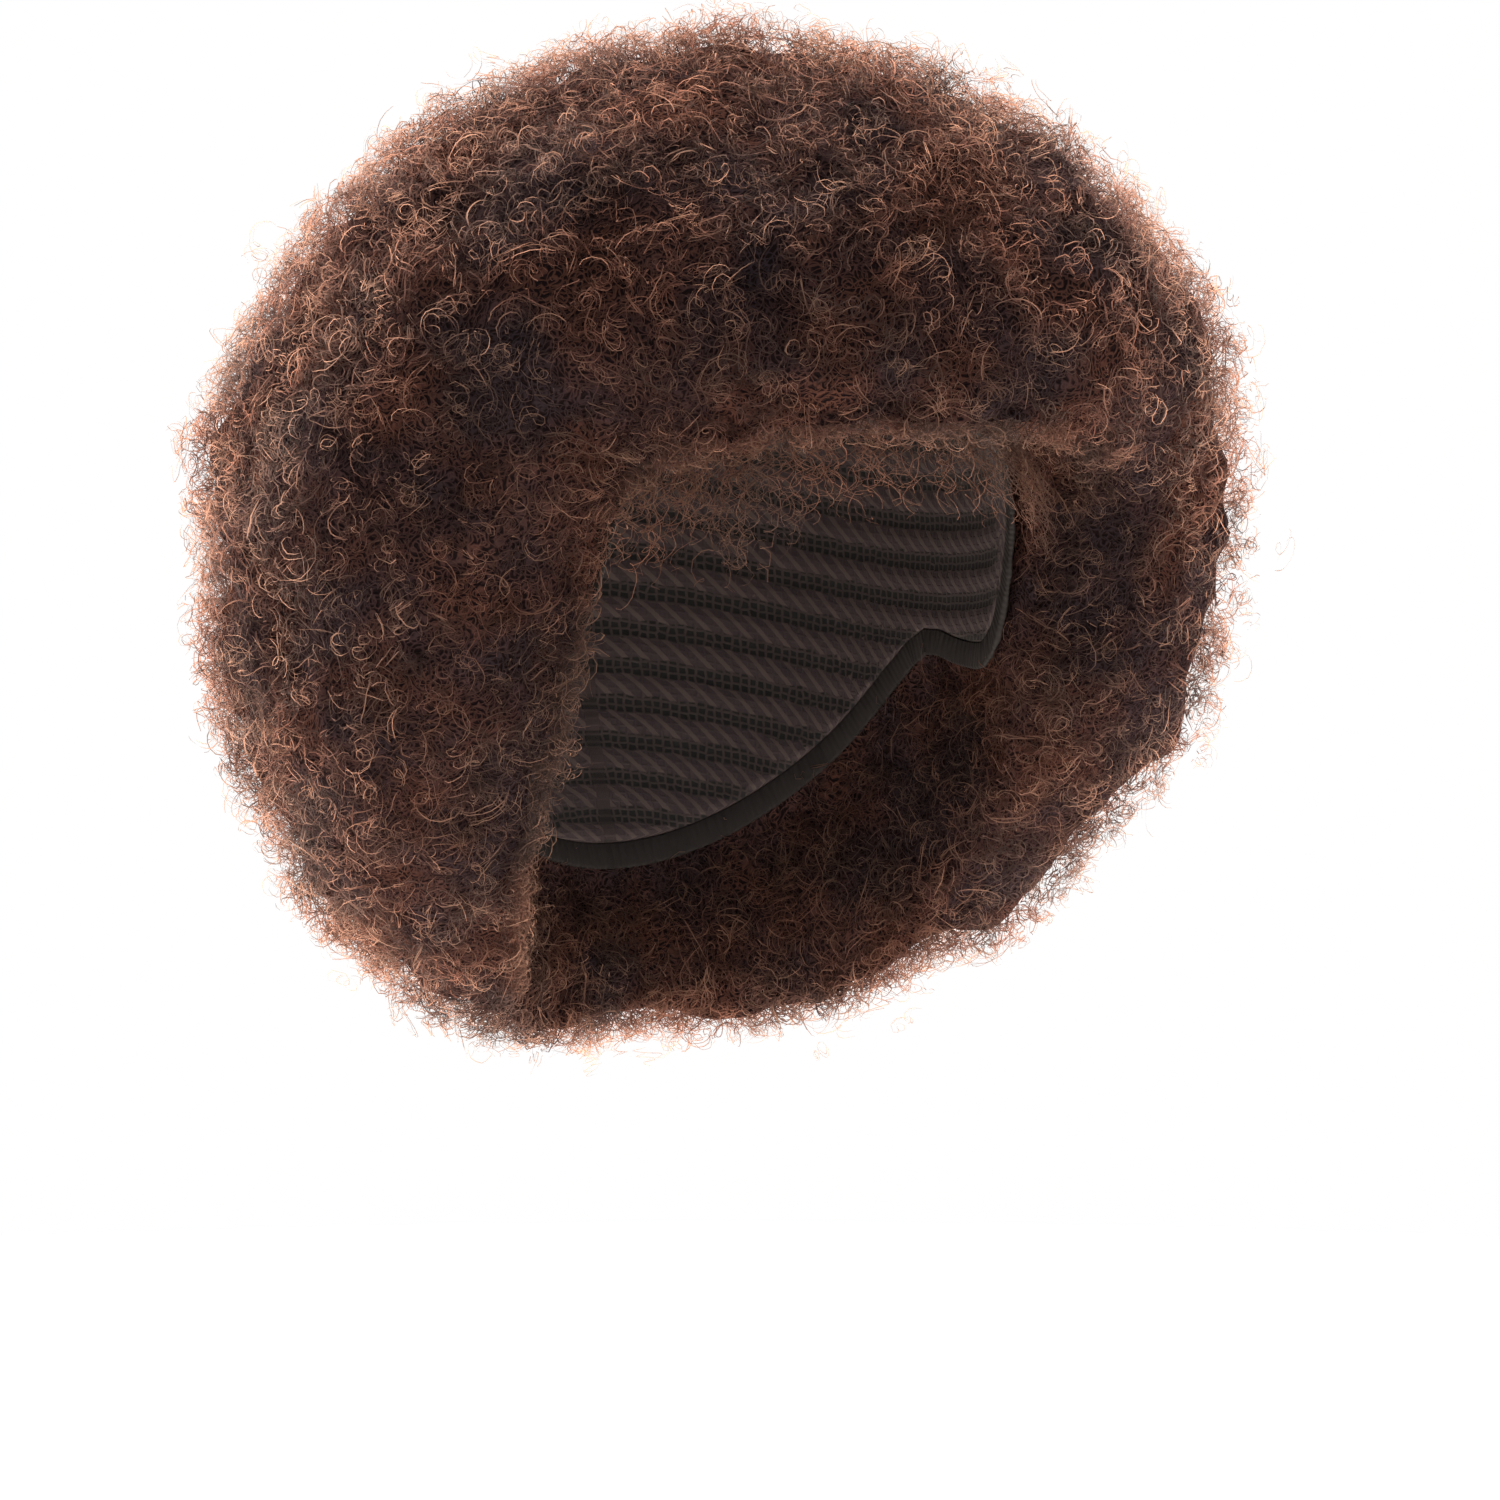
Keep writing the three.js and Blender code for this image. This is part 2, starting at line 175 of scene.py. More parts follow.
def nylon_net():
    """Nylon stretch net, IOR 1.53. Knitted yarn scatters light, so it looks matte."""
    material, tree = new_material("nylon_stretch_net")
    cloth = add(tree, "ShaderNodeAttribute", attribute_name="cloth").outputs["Vector"]
    holes = add(
        tree,
        "ShaderNodeTexVoronoi",
        {"Vector": cloth, "Scale": 1 / NET_HOLE, "Randomness": 0.3},
        feature="DISTANCE_TO_EDGE",
        voronoi_dimensions="2D",
    )
    yarn = add(
        tree,
        "ShaderNodeMapRange",
        {"Value": holes.outputs["Distance"], "From Min": 0.20, "From Max": 0.10},
    )
    # The holes between the yarn are drawn near-black: the dark hair seen behind the net, as
    # painted shade.
    net = add(
        tree,
        "ShaderNodeMix",
        {"Factor": yarn.outputs["Result"], 6: linear(NET_HOLE_SHADE_COLOUR), 7: linear(NET_COLOUR)},
        data_type="RGBA",
    )
    band = add(tree, "ShaderNodeAttribute", attribute_name="weft").outputs["Fac"]
    on_band = add(tree, "ShaderNodeMapRange", {"Value": band, "From Min": 0.25, "From Max": 0.4})
    colour = add(
        tree,
        "ShaderNodeMix",
        {"Factor": on_band.outputs["Result"], 6: net.outputs[2], 7: linear(WEFT_COLOUR)},
        data_type="RGBA",
    )
    stitch_scale = 1 / (STITCH_PITCH * WAVE_BANDS)
    rows = add(
        tree,
        "ShaderNodeTexWave",
        {"Vector": cloth, "Scale": stitch_scale, "Distortion": 0.4, "Detail": 1.0},
        bands_direction="DIAGONAL",
    )
    thread = add(
        tree,
        "ShaderNodeMapRange",
        {"Value": rows.outputs["Fac"], "From Min": 0.62, "From Max": 0.8},
    )
    seam = add(
        tree,
        "ShaderNodeMath",
        {0: thread.outputs["Result"], 1: on_band.outputs["Result"]},
        operation="MULTIPLY",
    )
    sewn = add(
        tree,
        "ShaderNodeMix",
        {"Factor": seam.outputs[0], 6: colour.outputs[2], 7: linear(THREAD_COLOUR)},
        data_type="RGBA",
    )
    height = add(
        tree,
        "ShaderNodeMath",
        {0: yarn.outputs["Result"], 1: seam.outputs[0]},
        operation="MAXIMUM",
    )
    bump = add(
        tree,
        "ShaderNodeBump",
        {"Height": height.outputs[0], "Strength": 0.6, "Distance": 0.0004},
    )
    shader = add(
        tree,
        "ShaderNodeBsdfPrincipled",
        {
            "Base Color": sewn.outputs[2],
            "Roughness": 0.85,
            "IOR": 1.53,
            "Specular IOR Level": 0.3,
            "Normal": bump.outputs["Normal"],
        },
    )
    add(tree, "ShaderNodeOutputMaterial", {"Surface": shader.outputs["BSDF"]})
    return material


turns = np.linspace(-math.pi, math.pi, CAP_COLUMNS, endpoint=False)
hem_tilts = np.array([hem_tilt(turn) for turn in turns])


def cap_points(rows, height):
    """Rings of points from near the crown down to the hem, and each point's way down the cap."""
    shares = (np.arange(rows) + 1) / rows
    ways = toward(turns[None, :], hem_tilts[None, :] * shares[:, None])
    surface = over_lining(ways, np.zeros(ways.shape[:2]))
    steps = np.linalg.norm(np.diff(surface, axis=0, prepend=surface[:1]), axis=-1)
    down = np.cumsum(steps, axis=0)
    return over_lining(ways, height(down)), down


def weft_share(down):
    """How far into a band of weft a point lies, from 0 on bare net to 1 on the band."""
    from_band = np.abs((down + WEFT_SPACING / 2) % WEFT_SPACING - WEFT_SPACING / 2)
    return np.clip((WEFT_BAND - from_band) / (WEFT_BAND / 2), 0, 1)


def add_cap():
    outer, outer_down = cap_points(OUTER_ROWS, lambda down: np.full_like(down, CAP_WALL))
    lining, lining_down = cap_points(LINING_ROWS, lambda down: -WEFT_RISE * weft_share(down))
    points = np.concatenate([outer, lining[::-1]])
    down = np.concatenate([outer_down, lining_down[::-1]])
    rings = len(points)
    middle = np.array([[0, 0, CAP_WALL], [0, 0, 0]])
    triangles = ring_faces(rings, CAP_COLUMNS)
    column = np.arange(CAP_COLUMNS)
    after = (column + 1) % CAP_COLUMNS
    last = (rings - 1) * CAP_COLUMNS
    top = np.full_like(column, rings * CAP_COLUMNS)
    fans = [np.stack([top, column, after], -1)]
    fans += [np.stack([top + 1, last + after, last + column], -1)]
    flat = np.concatenate([points.reshape(-1, 3), middle])
    cap = add_piece(
        "net_cap", flat, np.concatenate([triangles, *fans]), nylon_net(), ["wig_cap"]
    )
    around = np.broadcast_to(turns[None, :], down.shape) * half_breadth
    cloth = np.stack([around, down, np.zeros_like(down)], -1).reshape(-1, 3)
    add_values(cap, "cloth", np.concatenate([cloth, np.zeros((2, 3))]))
    add_values(cap, "weft", np.concatenate([weft_share(down).ravel(), np.zeros(2)]))
    return cap


cap = add_cap()

# The edge binding. A real one is a woven elastic tape of nylon over rubber, sewn on stretched,
# so it stands in fine ribs across its width and keeps the cap's edge close.
BINDING_WIDTH = 0.007
BINDING_GAP = 0.0003
BINDING_STEPS = 360
RIB_PITCH = 0.0026
RIB_DEPTH = 0.00022
YARN_SCALE = 1 / (RIB_PITCH * 2)  # yarn in the bump, a little finer than the ribs
TAPE_COLOUR = "#171312"


def woven_elastic():
    """Nylon covered elastic, IOR 1.53, with a dull sheen where the yarn is stretched."""
    material, tree = new_material("nylon_elastic_tape")
    cloth = add(tree, "ShaderNodeAttribute", attribute_name="cloth").outputs["Vector"]
    ribs = add(
        tree,
        "ShaderNodeTexWave",
        {"Vector": cloth, "Scale": YARN_SCALE, "Distortion": 0.6, "Detail": 1.0},
    )
    bump = add(
        tree,
        "ShaderNodeBump",
        {"Height": ribs.outputs["Fac"], "Strength": 0.5, "Distance": 0.0003},
    )
    shader = add(
        tree,
        "ShaderNodeBsdfPrincipled",
        {
            "Base Color": linear(TAPE_COLOUR),
            "Roughness": 0.8,
            "IOR": 1.53,
            "Specular IOR Level": 0.2,
            "Normal": bump.outputs["Normal"],
        },
    )
    add(tree, "ShaderNodeOutputMaterial", {"Surface": shader.outputs["BSDF"]})
    return material


def add_binding():
    steps = np.linspace(-math.pi, math.pi, BINDING_STEPS, endpoint=False)
    closed = np.append(turns, math.pi), np.append(hem_tilts, hem_tilts[0])
    hem = toward(steps, np.interp(steps, *closed))
    along = np.roll(hem, -1, axis=0) - np.roll(hem, 1, axis=0)
    away = np.cross(along, hem)
    away /= np.linalg.norm(away, axis=1)[:, None]
    run = np.cumsum(np.linalg.norm(along, axis=1) / 2 * lining_radius(hem))
    rib = RIB_DEPTH * np.sin(2 * math.pi * run / RIB_PITCH)
    near, far, fold = BINDING_GAP, BINDING_GAP + BINDING_WIDTH, CAP_WALL / 4
    section = [
        (near, 0),
        (near + fold, 0),
        (far - fold, 0),
        (far, CAP_WALL / 3),
        (far, CAP_WALL * 2 / 3),
        (far - fold, CAP_WALL),
        (near + fold, CAP_WALL),
        (near, CAP_WALL),
    ]
    rings = []
    for distance, height in section:
        way = hem + away * np.tan(distance / lining_radius(hem))[:, None]
        way /= np.linalg.norm(way, axis=1)[:, None]
        ribbed = (rib if height > CAP_WALL / 2 else -rib) * (distance > near)
        rings.append(over_lining(way, height + ribbed))
    points = np.stack(rings)
    triangles = ring_faces(len(section), BINDING_STEPS, looped=True)
    flat, material = points.reshape(-1, 3), woven_elastic()
    tape = add_piece(
        "binding_tape", flat, triangles, material, ["edge_binding"]
    )
    across = np.array([distance for distance, _ in section])
    cloth = np.zeros(points.shape)
    cloth[..., 0] = run
    cloth[..., 1] = across[:, None]
    add_values(tape, "cloth", cloth.reshape(-1, 3))
    return tape


binding = add_binding()

# The mass of the hair. On a real wig thousands of crimped modacrylic fibres mat together under
# the surface, so what shows between the outer curls is a dark, uneven, curly depth.
# Its colours are painted shade of that depth: drawn darker than the loose fibres, and darkest
# between its rings.
MASS_VOXEL = 0.0050
MASS_EVENING = 18
MASS_SINK = 0.0070
WALL_SINK = 0.0045
SEWN_DEPTH = 0.005
LOOSE_DEPTH = 0.020
FACING_SHIFT = 0.2
FACING_RANGE = 0.7
OUTER_STEEPNESS = 2.5
TUFT_SIZE = 0.032
TUFT_RELIEF = 0.0030
CLUMP_SIZE = 0.011
CLUMP_RELIEF = 0.0030
CLUMP_SHIFT = (7, 3, 5)
SIDE_FULLNESS = 0.0044
FRONT_FULLNESS = 0.0065
FRONT_FULL_WAY = (0.865, -0.498, -0.05)
FRONT_FOCUS = 3
CROWN_SETTLE = 0.0008
UNDER_SETTLE = 0.0034
PATCH_SIZE = 0.034
RING_SPACING = 0.0065
RING_LAYERS = (1.0, 1.35, 0.7)
FIBRE_PITCH = 0.0014
CURL_WAVER = 0.0035
WAVER_SIZE = 0.006
LAYER_SHIFT = (0.013, 0.021, 0.017)
# Painted shade in the low gaps between the rings.
GAP_SHADE_COLOUR = "#181213"
# The mass's dye colours, drawn darker than the loose fibres' as painted shade of the depth.
RED_COLOUR = "#452d26"
COOL_COLOUR = "#2b2326"
MASS_SHEEN = "#9c6c58"


def relief_at(points):
    """Height of the tufts and clumps of curls at each point, in metres."""
    tufts = [noise.noise(Vector(p) / TUFT_SIZE) for p in points]
    clumps = [noise.noise(Vector(p) / CLUMP_SIZE + Vector(CLUMP_SHIFT)) for p in points]
    return TUFT_RELIEF * np.array(tufts) + CLUMP_RELIEF * np.array(clumps)


def outwardness(points, normals):
    """1 where a surface faces outwards, 0 where it faces the hollow."""
    ways = unit(points - np.array(HOLLOW_MIDDLE))
    return np.clip((np.einsum("ij,ij->i", ways, normals) + FACING_SHIFT) / FACING_RANGE, 0, 1)


def unit(vectors):
    return vectors / np.linalg.norm(vectors, axis=-1, keepdims=True)


def fullness(normals):
    """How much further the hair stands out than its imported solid: more at the sides, most at the
    wearer's left in front, less on top and below."""
    up = normals[:, 2]
    sides = SIDE_FULLNESS * (1 - np.abs(up))
    front = FRONT_FULLNESS * np.clip(normals @ np.array(FRONT_FULL_WAY), 0, 1) ** FRONT_FOCUS
    return sides + front - CROWN_SETTLE * np.clip(up, 0, 1) - UNDER_SETTLE * np.clip(-up, 0, 1)


def evened_hair():
    """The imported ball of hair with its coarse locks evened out: points, normals, triangles."""
    block = bpy.data.objects.new("evened_block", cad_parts["afro_hair"].data.copy())
    bpy.context.scene.collection.objects.link(block)
    evened = block.modifiers.new("evened", "REMESH")
    evened.mode = "VOXEL"
    evened.voxel_size = MASS_VOXEL
    smoothed = block.modifiers.new("smoothed", "SMOOTH")
    smoothed.iterations = MASS_EVENING
    shaped = block.evaluated_get(bpy.context.evaluated_depsgraph_get())
    mesh = bpy.data.meshes.new_from_object(shaped)
    bpy.data.objects.remove(block)
    mesh.calc_loop_triangles()
    points = np.array([v.co for v in mesh.vertices])
    normals = np.array([v.normal for v in mesh.vertices])
    return points, normals, np.array([t.vertices for t in mesh.loop_triangles])


def patch_colours(tree, place):
    """The slow drift of the dye between reddish and cooler dark brown, in patches."""
    patches = add(
        tree,
        "ShaderNodeTexNoise",
        {"Vector": place, "Scale": 1 / PATCH_SIZE, "Detail": 2.5, "Roughness": 0.6},
    )
    drift = add(
        tree,
        "ShaderNodeMapRange",
        {"Value": patches.outputs["Fac"], "From Min": 0.4, "From Max": 0.62},
    )
    return drift.outputs["Result"]


def curl_pattern(tree, place):
    """Broken rings of several sizes, one over the other, as tight curls of fibre look."""
    wavering = {"Vector": place, "Scale": 1 / WAVER_SIZE, "Detail": 2.0}
    waver = add(tree, "ShaderNodeTexNoise", wavering)
    bent = add(
        tree,
        "ShaderNodeVectorMath",
        {0: waver.outputs["Color"], 1: (CURL_WAVER,) * 3, 2: place},
        operation="MULTIPLY_ADD",
    )
    height = None
    for layer, share in enumerate(RING_LAYERS):
        spacing = RING_SPACING * share
        moved = add(
            tree,
            "ShaderNodeVectorMath",
            {0: bent.outputs[0], 1: tuple(step * layer for step in LAYER_SHIFT)},
            operation="ADD",
        )
        where = {"Vector": moved.outputs[0], "Scale": 1 / spacing}
        cells = add(tree, "ShaderNodeTexVoronoi", where)
        wound = add(
            tree,
            "ShaderNodeMath",
            {0: cells.outputs["Distance"], 1: 2 * math.pi * spacing / FIBRE_PITCH},
            operation="MULTIPLY",
        )
        wave = add(tree, "ShaderNodeMath", {0: wound.outputs[0]}, operation="SINE").outputs[0]
        if height is None:
            height = wave
        else:
            higher = add(tree, "ShaderNodeMath", {0: height, 1: wave}, operation="MAXIMUM")
            height = higher.outputs[0]
    return height


def matted_fibre():
    """Matted modacrylic fibre, IOR 1.52, dull because its crimps throw light every way. Its
    colours hold painted shade: darker than the loose fibres, darkest between the rings.
    """
    material, tree = new_material("matted_modacrylic_fibre")
    place = add(tree, "ShaderNodeTexCoord").outputs["Object"]
    curls = curl_pattern(tree, place)
    raised = add(tree, "ShaderNodeMapRange", {"Value": curls, "From Min": 0.4, "From Max": 1.0})
    # The dye drifts in patches between cooler and reddish brown; both colours are drawn darker
    # than the loose fibres', as painted shade.
    dye = add(
        tree,
        "ShaderNodeMix",
        {"Factor": patch_colours(tree, place), 6: linear(COOL_COLOUR), 7: linear(RED_COLOUR)},
        data_type="RGBA",
    )
    # Painted shade: the low gaps between the rings take the gap colour, the raised rings the dye.
    colour = add(
        tree,
        "ShaderNodeMix",
        {"Factor": raised.outputs["Result"], 6: linear(GAP_SHADE_COLOUR), 7: dye.outputs[2]},
        data_type="RGBA",
    )
    bump = add(tree, "ShaderNodeBump", {"Height": curls, "Strength": 0.9, "Distance": 0.0006})
    shader = add(
        tree,
        "ShaderNodeBsdfPrincipled",
        {
            "Base Color": colour.outputs[2],
            "Roughness": 0.8,
            "IOR": 1.52,
            "Specular IOR Level": 0.0,
            "Sheen Weight": 0.06,
            "Sheen Roughness": 0.5,
            "Sheen Tint": linear(MASS_SHEEN),
            "Normal": bump.outputs["Normal"],
        },
    )
    add(tree, "ShaderNodeOutputMaterial", {"Surface": shader.outputs["BSDF"]})
    return material


hair_points, hair_normals, hair_triangles = evened_hair()


def add_mass():
    out = outwardness(hair_points, hair_normals)
    from_cap = np.array([cap_tree.find_nearest(Vector(p))[3] for p in hair_points])
    loose = np.clip((from_cap - SEWN_DEPTH) / (LOOSE_DEPTH - SEWN_DEPTH), 0, 1)
    sunk = WALL_SINK + (MASS_SINK - WALL_SINK) * np.clip(OUTER_STEEPNESS * out, 0, 1)
    raised = (relief_at(hair_points) + fullness(hair_normals) * out - sunk) * loose
    points = hair_points + hair_normals * raised[:, None]
    material = matted_fibre()
    add_piece("matted_hair", points, hair_triangles, material, ["afro_hair"])


add_mass()

# The curls. A real wig's outer hair is flat modacrylic fibre, crimped over fine rods and steam
# set into tight irregular coils. Fibres of one lock coil round one middle, and each strip here
# stands for a few of them, so it is wider than one fibre.
CURL_SEED = 11
CURL_PANELS = ("right_front", "right_back", "back", "left_back", "left_front")
LOCKS_EACH = 3150
LOCK_FIBRES = 2
LOCK_SPREAD = 0.0010
COIL_RUNS = (0.005, 0.014)
ROOT_CLEARANCE = 0.0065
CURL_SEGMENTS = 14
SEGMENT_LENGTH = 0.0020
STRIP_WIDTH = 0.00031
BED_WIDTH = 0.00044
CURL_RADIUS = 0.0025
BED_DEPTHS = (-0.0060, -0.0008)
TOP_DEPTHS = (-0.0015, 0.0018)
TOP_SHARE = 0.36
STRAY_SHARE = 0.15
STRAY_LEVEL = 0.0015
STRAY_RISE = 0.0015
# The dark end of the fibre colours, reached by random tone and by painted shade.
FIBRE_DARK = "#2b2122"
FIBRE_BROWN = "#4a3c38"
FIBRE_RED = "#6d4b3f"
# Painted highlight colour for raised fibres and tuft tips.
FIBRE_HIGHLIGHT = "#8f6e5d"
SEEN_THROUGH = 0.75
NEAR_CAP = 0.013
NEAR_CAP_CHANCE = 0.9
UNDER_CHANCE = 0.4
ROLLED_CHANCE = 3
STRAY_FACING = 0.4
AXIS_LEAN = 1.1
HEADING_LEAN = 0.6
RADIUS_SPREAD = 0.28
RADIUS_LIMITS = (0.0014, 0.0038)
STRAY_RADIUS = 0.0030
CAP_RADIUS_SHARE = 0.38
FIBRE_SPREAD = 0.2
FIBRE_LIMITS = (0.5, 1.6)
PHASE_SPREAD = 0.5
WINDING = 0.82
CRIMP = 0.00012
SWELL = 0.45
TWIST_START = 0.6
TWIST_CHANGE = 1.0
WIDTH_VARIETY = (0.75, 1.15)
STRAY_WIDTH_SHARE = 0.68
BED_LEVEL = 0.004
# Painted shade: fibres lying deep, and fibres near the cap's edge, are drawn darker.
SHADE_DEPTH = 0.007
CAP_SHADE_START = 0.006
CAP_SHADE_REACH = 0.016
CURL_TONE = 0.78
CURL_TONE_SPREAD = 0.2
# Painted highlight: fibres standing above the outer hair are drawn lighter.
HIGHLIGHT_HEIGHT = 0.006
HIGHLIGHT_MOST = 0.6


def modacrylic_fibre():
    """Modacrylic fibre, IOR 1.52, dyed dark brown, with painted shade on deep fibres and a painted
    highlight on raised fibres and tuft tips. Its thin strips let some light through.
    """
    material, tree = new_material("dyed_modacrylic_fibre")
    place = add(tree, "ShaderNodeTexCoord").outputs["Object"]
    tone_and_shade = add(tree, "ShaderNodeAttribute", attribute_name="tone_and_shade").outputs["Fac"]
    lift = add(tree, "ShaderNodeAttribute", attribute_name="lift").outputs["Fac"]
    dye = add(
        tree,
        "ShaderNodeMix",
        {"Factor": patch_colours(tree, place), 6: linear(FIBRE_BROWN), 7: linear(FIBRE_RED)},
        data_type="RGBA",
    )
    # The tone attribute holds each fibre's random tone times painted shade: deep fibres, fibres
    # near the cap and the roots of the front tufts are drawn darker.
    varied = add(
        tree,
        "ShaderNodeMix",
        {"Factor": tone_and_shade, 6: linear(FIBRE_DARK), 7: dye.outputs[2]},
        data_type="RGBA",
    )
    # Painted highlight: by the lift attribute, raised fibres and tuft tips are drawn towards a
    # lighter colour.
    highlighted = add(
        tree,
        "ShaderNodeMix",
        {"Factor": lift, 6: varied.outputs[2], 7: linear(FIBRE_HIGHLIGHT)},
        data_type="RGBA",
    )
    shader = add(
        tree,
        "ShaderNodeBsdfPrincipled",
        {
            "Base Color": highlighted.outputs[2],
            "Roughness": 0.65,
            "IOR": 1.52,
            "Specular IOR Level": 0.03,
        },
    )
    through = add(tree, "ShaderNodeBsdfTranslucent", {"Color": highlighted.outputs[2]})
    both = add(
        tree,
        "ShaderNodeMixShader",
        {0: SEEN_THROUGH, 1: shader.outputs["BSDF"], 2: through.outputs["BSDF"]},
    )
    add(tree, "ShaderNodeOutputMaterial", {"Surface": both.outputs["Shader"]})
    return material


def roots_on_hair(count, rng):
    """Random points on the evened ball of hair, by area, with more where it rolls in at its edge.
    Gives the points, the normals and how far each point is from the cap."""
    corners = hair_points[hair_triangles]
    edges = corners[:, 1:] - corners[:, :1]
    areas = np.linalg.norm(np.cross(edges[:, 0], edges[:, 1]), axis=1)
    middles = corners.mean(axis=1)
    out = outwardness(middles, unit(hair_normals[hair_triangles].mean(axis=1)))
    from_cap = np.array([cap_tree.find_nearest(Vector(p))[3] for p in middles])
    rolled = 1 + UNDER_CHANCE * (1 - out) + ROLLED_CHANCE * out * (1 - out)
    rooted = np.where(from_cap < NEAR_CAP, NEAR_CAP_CHANCE, rolled)
    chance = areas * np.where(from_cap < ROOT_CLEARANCE, 0, rooted)
    picked = rng.choice(len(areas), count, p=chance / chance.sum())
    a, b = rng.random((2, count))
    folded = a + b > 1
    a, b = np.where(folded, 1 - a, a), np.where(folded, 1 - b, b)
    points = corners[picked, 0] + a[:, None] * edges[picked, 0] + b[:, None] * edges[picked, 1]
    weights = np.stack([1 - a - b, a, b], -1)
    normals = np.einsum("ij,ijk->ik", weights, hair_normals[hair_triangles[picked]])
    return points, unit(normals), from_cap[picked]


def strips(paths, faced, twists, widths):
    """Flat strips along paths, strands by points. Each faces its own way, turned by its twist."""
    along = unit(np.gradient(paths, axis=1))
    level = unit(np.cross(along, faced[:, None, :]))
    raised = np.cross(level, along)
    across = level * np.cos(twists)[..., None] + raised * np.sin(twists)[..., None]
    half = across * widths[..., None] / 2
    points = np.stack([paths - half, paths + half], axis=2)
    strands, count = paths.shape[:2]
    start = 2 * np.arange(count - 1)[:, None]
    one = np.concatenate([start + [0, 1, 3], start + [0, 3, 2]])
    faces = one[None] + (np.arange(strands) * count * 2)[:, None, None]
    return points.reshape(-1, 3), faces.reshape(-1, 3)


def coils(points, normals, from_cap, rng):
    """The fibres of the locks at these roots, locks by fibres by points. Gives their paths, their
    height above the level of the outer hair, and which locks are stray."""
    count = len(points)
    out = outwardness(points, normals)
    kind = rng.random(count)
    stray = (kind < STRAY_SHARE) & (out > STRAY_FACING)
    top = kind > 1 - TOP_SHARE
    depth = np.where(top, rng.uniform(*TOP_DEPTHS, count), rng.uniform(*BED_DEPTHS, count))
    rise = STRAY_LEVEL + rng.exponential(STRAY_RISE, count)
    depth = np.where(stray, rise, depth * (0.3 + 0.7 * np.clip(OUTER_STEEPNESS * out, 0, 1)))
    ground = points + normals * ((fullness(normals) + relief_at(points)) * out)[:, None]
    middle = ground + normals * depth[:, None]

    axis = rng.normal(0, 1, (count, 3))
    axis = unit(axis + normals * rng.choice([-AXIS_LEAN, AXIS_LEAN], count)[:, None])
    first = unit(np.cross(axis, rng.normal(0, 1, (count, 3))))
    second = np.cross(axis, first)
    heading = unit(np.cross(normals, rng.normal(0, 1, (count, 3))))
    heading = unit(heading + HEADING_LEAN * axis)

    share = np.linspace(0, 1, CURL_SEGMENTS + 1)
    length = SEGMENT_LENGTH * CURL_SEGMENTS
    sized = rng.lognormal(math.log(CURL_RADIUS), RADIUS_SPREAD, count)
    sized = np.clip(sized, *RADIUS_LIMITS)
    sized = np.minimum(sized, np.where(stray, STRAY_RADIUS, CAP_RADIUS_SHARE * from_cap))
    varied = rng.normal(1, FIBRE_SPREAD, (count, LOCK_FIBRES))
    radius = sized[:, None] * np.clip(varied, *FIBRE_LIMITS)
    sense = rng.choice([-1, 1], count)[:, None]
    phase = rng.uniform(0, 2 * math.pi, count)[:, None]
    phase = phase + rng.normal(0, PHASE_SPREAD, (count, LOCK_FIBRES))
    wound = (length / radius * sense * WINDING)[..., None] * share
    eased = 0.5 * np.sin(wound * 0.6 + 2 * phase[..., None])
    angle = phase[..., None] + wound + eased
    run = rng.uniform(*COIL_RUNS, (count, 1))[..., None] * (share - 0.5)
    shift = rng.normal(0, LOCK_SPREAD, (count, LOCK_FIBRES, 1, 3))
    crimp = rng.normal(0, CRIMP, (count, LOCK_FIBRES, CURL_SEGMENTS + 1, 3))
    swell = 1 + rng.uniform(-SWELL, SWELL, (count, LOCK_FIBRES, 1)) * (2 * share - 1)
    reach = radius[..., None] * swell
    paths = (
        middle[:, None, None]
        + heading[:, None, None] * run[..., None]
        + first[:, None, None] * (reach * np.cos(angle))[..., None]
        + second[:, None, None] * (reach * np.sin(angle))[..., None]
        + shift
        + crimp
    )
    height = np.einsum("lfpi,li->lfp", paths - ground[:, None, None], normals)
    return paths, height, stray


